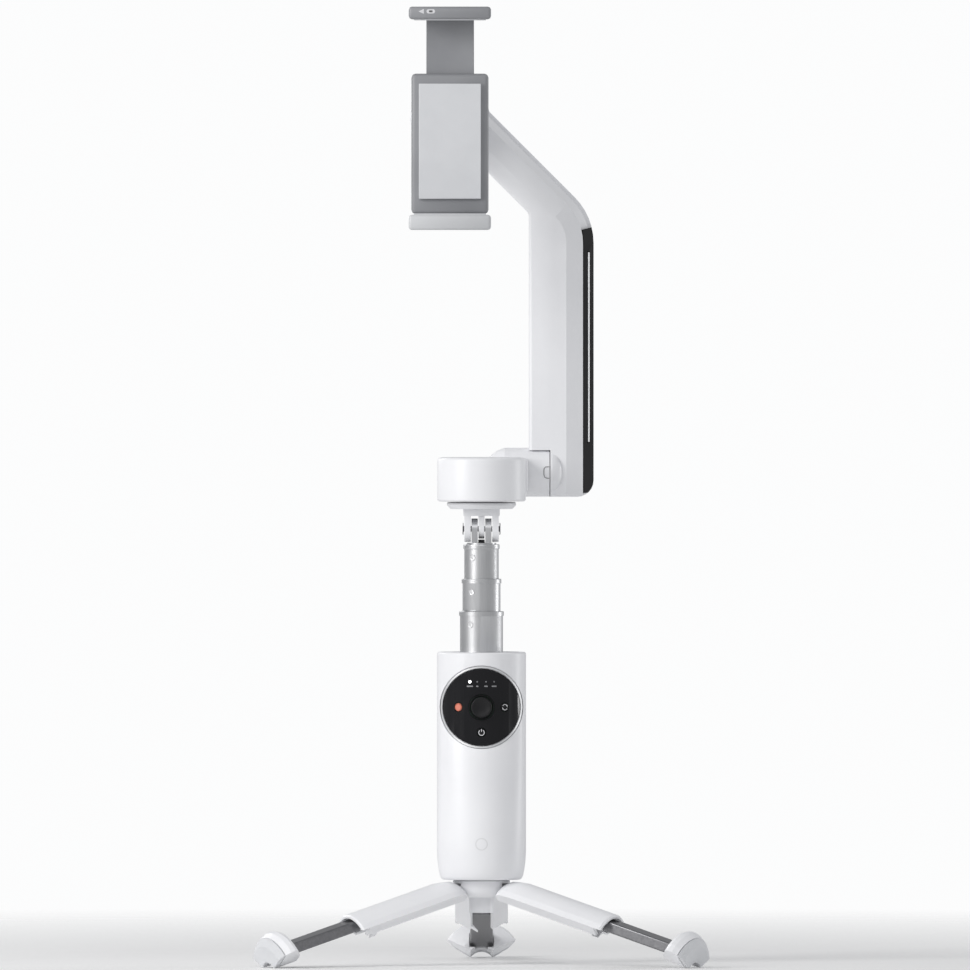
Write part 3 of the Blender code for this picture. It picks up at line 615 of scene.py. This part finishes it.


# ---- printed marks, painted shade lines and small parts ----


def polygon_disc(x, z, radius, steps=28):
    """A round outline."""
    angles = [2 * math.pi * i / steps for i in range(steps)]
    return [(x + radius * math.cos(a), z + radius * math.sin(a)) for a in angles]


def rounded_bar(x, z, width, height, corner):
    """A bar with rounded corners about its middle."""
    outline = []
    for quarter, (sx, sz) in enumerate(((1, 1), (-1, 1), (-1, -1), (1, -1))):
        centre = (x + sx * (width / 2 - corner), z + sz * (height / 2 - corner))
        angles = [math.pi / 2 * (quarter + i / 5) for i in range(6)]
        outline += [(centre[0] + corner * math.cos(a), centre[1] + corner * math.sin(a)) for a in angles]
    return outline


def stroke(points, width, closed=False):
    """Quads that follow a line of points at a given width."""
    count = len(points)
    sides = []
    for i, (x, z) in enumerate(points):
        before = points[(i - 1) % count] if closed or i else points[i]
        after = points[(i + 1) % count] if closed or i < count - 1 else points[i]
        along = Vector((after[0] - before[0], after[1] - before[1])).normalized() * width / 2
        sides.append(((x - along.y, z + along.x), (x + along.y, z - along.x)))
    pairs = [(i, (i + 1) % count) for i in range(count if closed else count - 1)]
    return [[sides[i][0], sides[i][1], sides[j][1], sides[j][0]] for i, j in pairs]


def arc_line(x, z, radius, start, end, steps=18):
    """Points along an arc between two angles in degrees."""
    angles = [math.radians(start + (end - start) * i / steps) for i in range(steps + 1)]
    return [(x + radius * math.cos(a), z + radius * math.sin(a)) for a in angles]


def arrow_head(x, z, heading, size):
    """A triangle that points along a heading in degrees."""
    angles = [math.radians(heading + turn) for turn in (0, 130, 230)]
    return [(x + size * math.cos(a), z + size * math.sin(a)) for a in angles]


def raised(name, outlines, surface, body, material, sunk=0.05, proud=0.05):
    """Thin plates with those outlines, laid on the surface that maps (across, up, out) to a place."""
    bm = bmesh.new()
    for outline in outlines:
        rings = [[bm.verts.new(surface(a, b, lift)) for a, b in outline] for lift in (-sunk, proud)]
        bm.faces.new(rings[1])
        bm.faces.new(rings[0][::-1])
        for i in range(len(outline)):
            j = (i + 1) % len(outline)
            bm.faces.new((rings[0][i], rings[0][j], rings[1][j], rings[1][i]))
    obj = from_bmesh(name, bm)
    return settle(obj, body, material)


def round_surface(axis, radius):
    """The front of an upright cylinder: across is measured along the surface."""

    def place(across, up, out):
        turn = across / radius
        reach = radius + out
        return Vector((axis.x + reach * math.sin(turn), axis.y - reach * math.cos(turn), up))

    return place


def button_face(node):
    """The flat face of a button, which looks outwards from the handle's axis."""
    centre = middle(node)
    sideways = Vector((centre.x - AXIS.x, centre.y - AXIS.y))
    turn = math.atan2(sideways.x, -sideways.y)
    spin = Matrix.Rotation(turn, 3, "Z")

    def place(across, up, out):
        return Vector((AXIS.x, AXIS.y, centre.z + up)) + spin @ Vector((across, -BUTTON_FACE - out, 0))

    return place


def flat_front(y):
    """An upright flat face that looks forwards."""

    def place(across, up, out):
        return Vector((across, y - out, up))

    return place


def panel_marks():
    """Four mode lamps, the first one lit, with a bar under each for its label."""
    face = round_surface(AXIS, PANEL_FACE)
    lamp_z = PANEL.z + LAMP_UP
    label_z = PANEL.z + LABEL_UP
    lit = lamp("lamp_lit", (1, 1, 1), 2.5)
    dim = lamp("lamp_dim", (0.2, 0.2, 0.21), 0.05)
    raised("mode_lamp_lit", [polygon_disc(LAMPS[0], lamp_z, LIT_R)], face, "handle", lit)
    unlit = [polygon_disc(x, lamp_z, DIM_R) for x in LAMPS[1:]]
    raised("mode_lamps_dim", unlit, face, "handle", dim)
    bars = [rounded_bar(x, label_z, width, LABEL_HEIGHT, 0.2) for x, width in zip(LAMPS, LABEL_WIDTHS)]
    raised("mode_label_bars", bars, face, "handle", DULL_INK)


def switch_mark():
    """Two arrows that chase each other round a circle."""
    start, end = SWITCH_ARC
    outlines = []
    for heading in (0, 180):
        arc = arc_line(0, 0, ICON_R, heading + start, heading + end)
        outlines += stroke(arc, SWITCH_LINE)
        outlines.append(arrow_head(*arc[0], heading + start - 90, SWITCH_TIP))
    raised("switch_icon", outlines, button_face("switch_button"), "switch_key", INK)


def power_mark():
    """A broken circle with a bar through its gap."""
    outlines = stroke(arc_line(0, -POWER_DROP, ICON_R, *POWER_ARC, steps=26), POWER_LINE)
    outlines.append(rounded_bar(0, POWER_BAR_UP, POWER_LINE, POWER_BAR_HEIGHT, 0.1))
    raised("power_icon", outlines, button_face("power_button"), "power_key", INK)


def record_mark():
    """A darker ring on the record button."""
    rim = stroke(polygon_disc(0, 0, RECORD_R), RECORD_LINE, closed=True)
    raised("record_ring", rim, button_face("record_button"), "record_key", CORAL_RIM)


def handle_mark():
    """A faint ring low on the handle's front."""
    ring = stroke(polygon_disc(0, MARK_Z, MARK_R), MARK_LINE, closed=True)
    raised("handle_mark", ring, round_surface(AXIS, HANDLE_R), "handle", GHOST)


def jaw_marks():
    """An arrow and a pill on the upper jaw's lip."""
    low, high = corners("upper_jaw")
    z = high.z - JAW_MARK_DOWN
    pill_x = low.x + PILL_ACROSS
    arrow = arrow_head(low.x + ARROW_ACROSS, z, 180, ARROW_SIZE)
    raised("jaw_arrow", [arrow, rounded_bar(pill_x, z, *PILL)], flat_front(low.y), "jaw", INK)
    core = rounded_bar(pill_x, z, *PILL_CORE)
    raised("jaw_pill_core", [core], flat_front(low.y - PILL_CORE_LIFT), "jaw", DARK_INK)


def barrel_surface(radius, y, z):
    """The front of a level cylinder that lies along X."""

    def place(across, up, out):
        reach = radius + out
        turn = (up - z) / radius
        return Vector((across, y - reach * math.cos(turn), z + reach * math.sin(turn)))

    return place


def fold_latch():
    """The latch's shadow line across the seam between the fold barrel and the arm."""
    low, high = corners("fold_yoke")
    radius = (high.z - low.z) / 2
    axis_z = (high.z + low.z) / 2
    face = barrel_surface(radius, high.y - radius, axis_z)
    hook = stroke([(high.x + across, axis_z + up) for across, up in LATCH_TOP + LATCH_FOOT], LATCH_LINE)
    raised("fold_latch_line", hook, face, "pan", SHADE_INK, proud=0.06)


def tube_dimples():
    """A round stop pressed into each tube at the upper left, drawn as a flat disc with a ring of painted
    shade round its edge.
    """
    for node in TUBES:
        radius = half_width(node) - TUBE_COLLAR
        face = round_surface(STICK, radius)
        across = -radius * DIMPLE_ROUND
        z = corners(node)[1].z - DIMPLE_DOWN
        dimple = polygon_disc(across, z, DIMPLE_R)
        raised(node + "_stop", [dimple], face, BODY_OF[node], FINISHES["brushed_aluminium"], proud=0.07)
        # Painted shade: a darker grey ring where the pressed stop's edge falls into shade.
        rim = stroke(polygon_disc(across, z, DIMPLE_RIM_R), DIMPLE_LINE, closed=True)
        raised(node + "_stop_rim", rim, face, BODY_OF[node], STOP_RIM_SHADE, proud=0.09)


def fork_stop():
    """The black bumper between the fork's lugs."""
    top = corners("stick_tube_upper")[1].z
    bm = bmesh.new()
    shape = Matrix.Translation((STICK.x, STICK.y, top + BUMPER_UP)) @ Matrix.Diagonal((*BUMPER, 1))
    bmesh.ops.create_cube(bm, size=1, matrix=shape)
    stop = from_bmesh("fork_stop", bm)
    bevel(stop, BUMPER_EDGE)
    settle(stop, "upper_tube", FINISHES["black_plastic"])


def floor():
    """A pale round floor that fades away towards its edge."""
    bm = bmesh.new()
    bmesh.ops.create_circle(bm, cap_ends=True, segments=96, radius=FLOOR_R)
    disc = from_bmesh("floor", bm)
    disc.location = (0, 0, -FLOOR_DROP * MM)
    finish = Finish("pale_floor", Roughness=0.7)
    speck = finish.noise(40.0, 3.0)
    finish.set("Base Color", finish.mix(speck, (0.93, 0.93, 0.93), (0.95, 0.95, 0.95)))
    distance = finish.node("ShaderNodeVectorMath", {"operation": "LENGTH"}, {0: finish.place()}, out="Value")
    finish.set("Alpha", finish.ramp(distance, [(0.2, 1), (0.8, 0)]))
    disc.data.materials.append(finish.material)


add_camera()
add_studio()
floor()
all_nodes()
joystick_cap()
joystick_ring()
panel_marks()
switch_mark()
power_mark()
record_mark()
handle_mark()
jaw_marks()
fold_latch()
tube_dimples()
fork_stop()
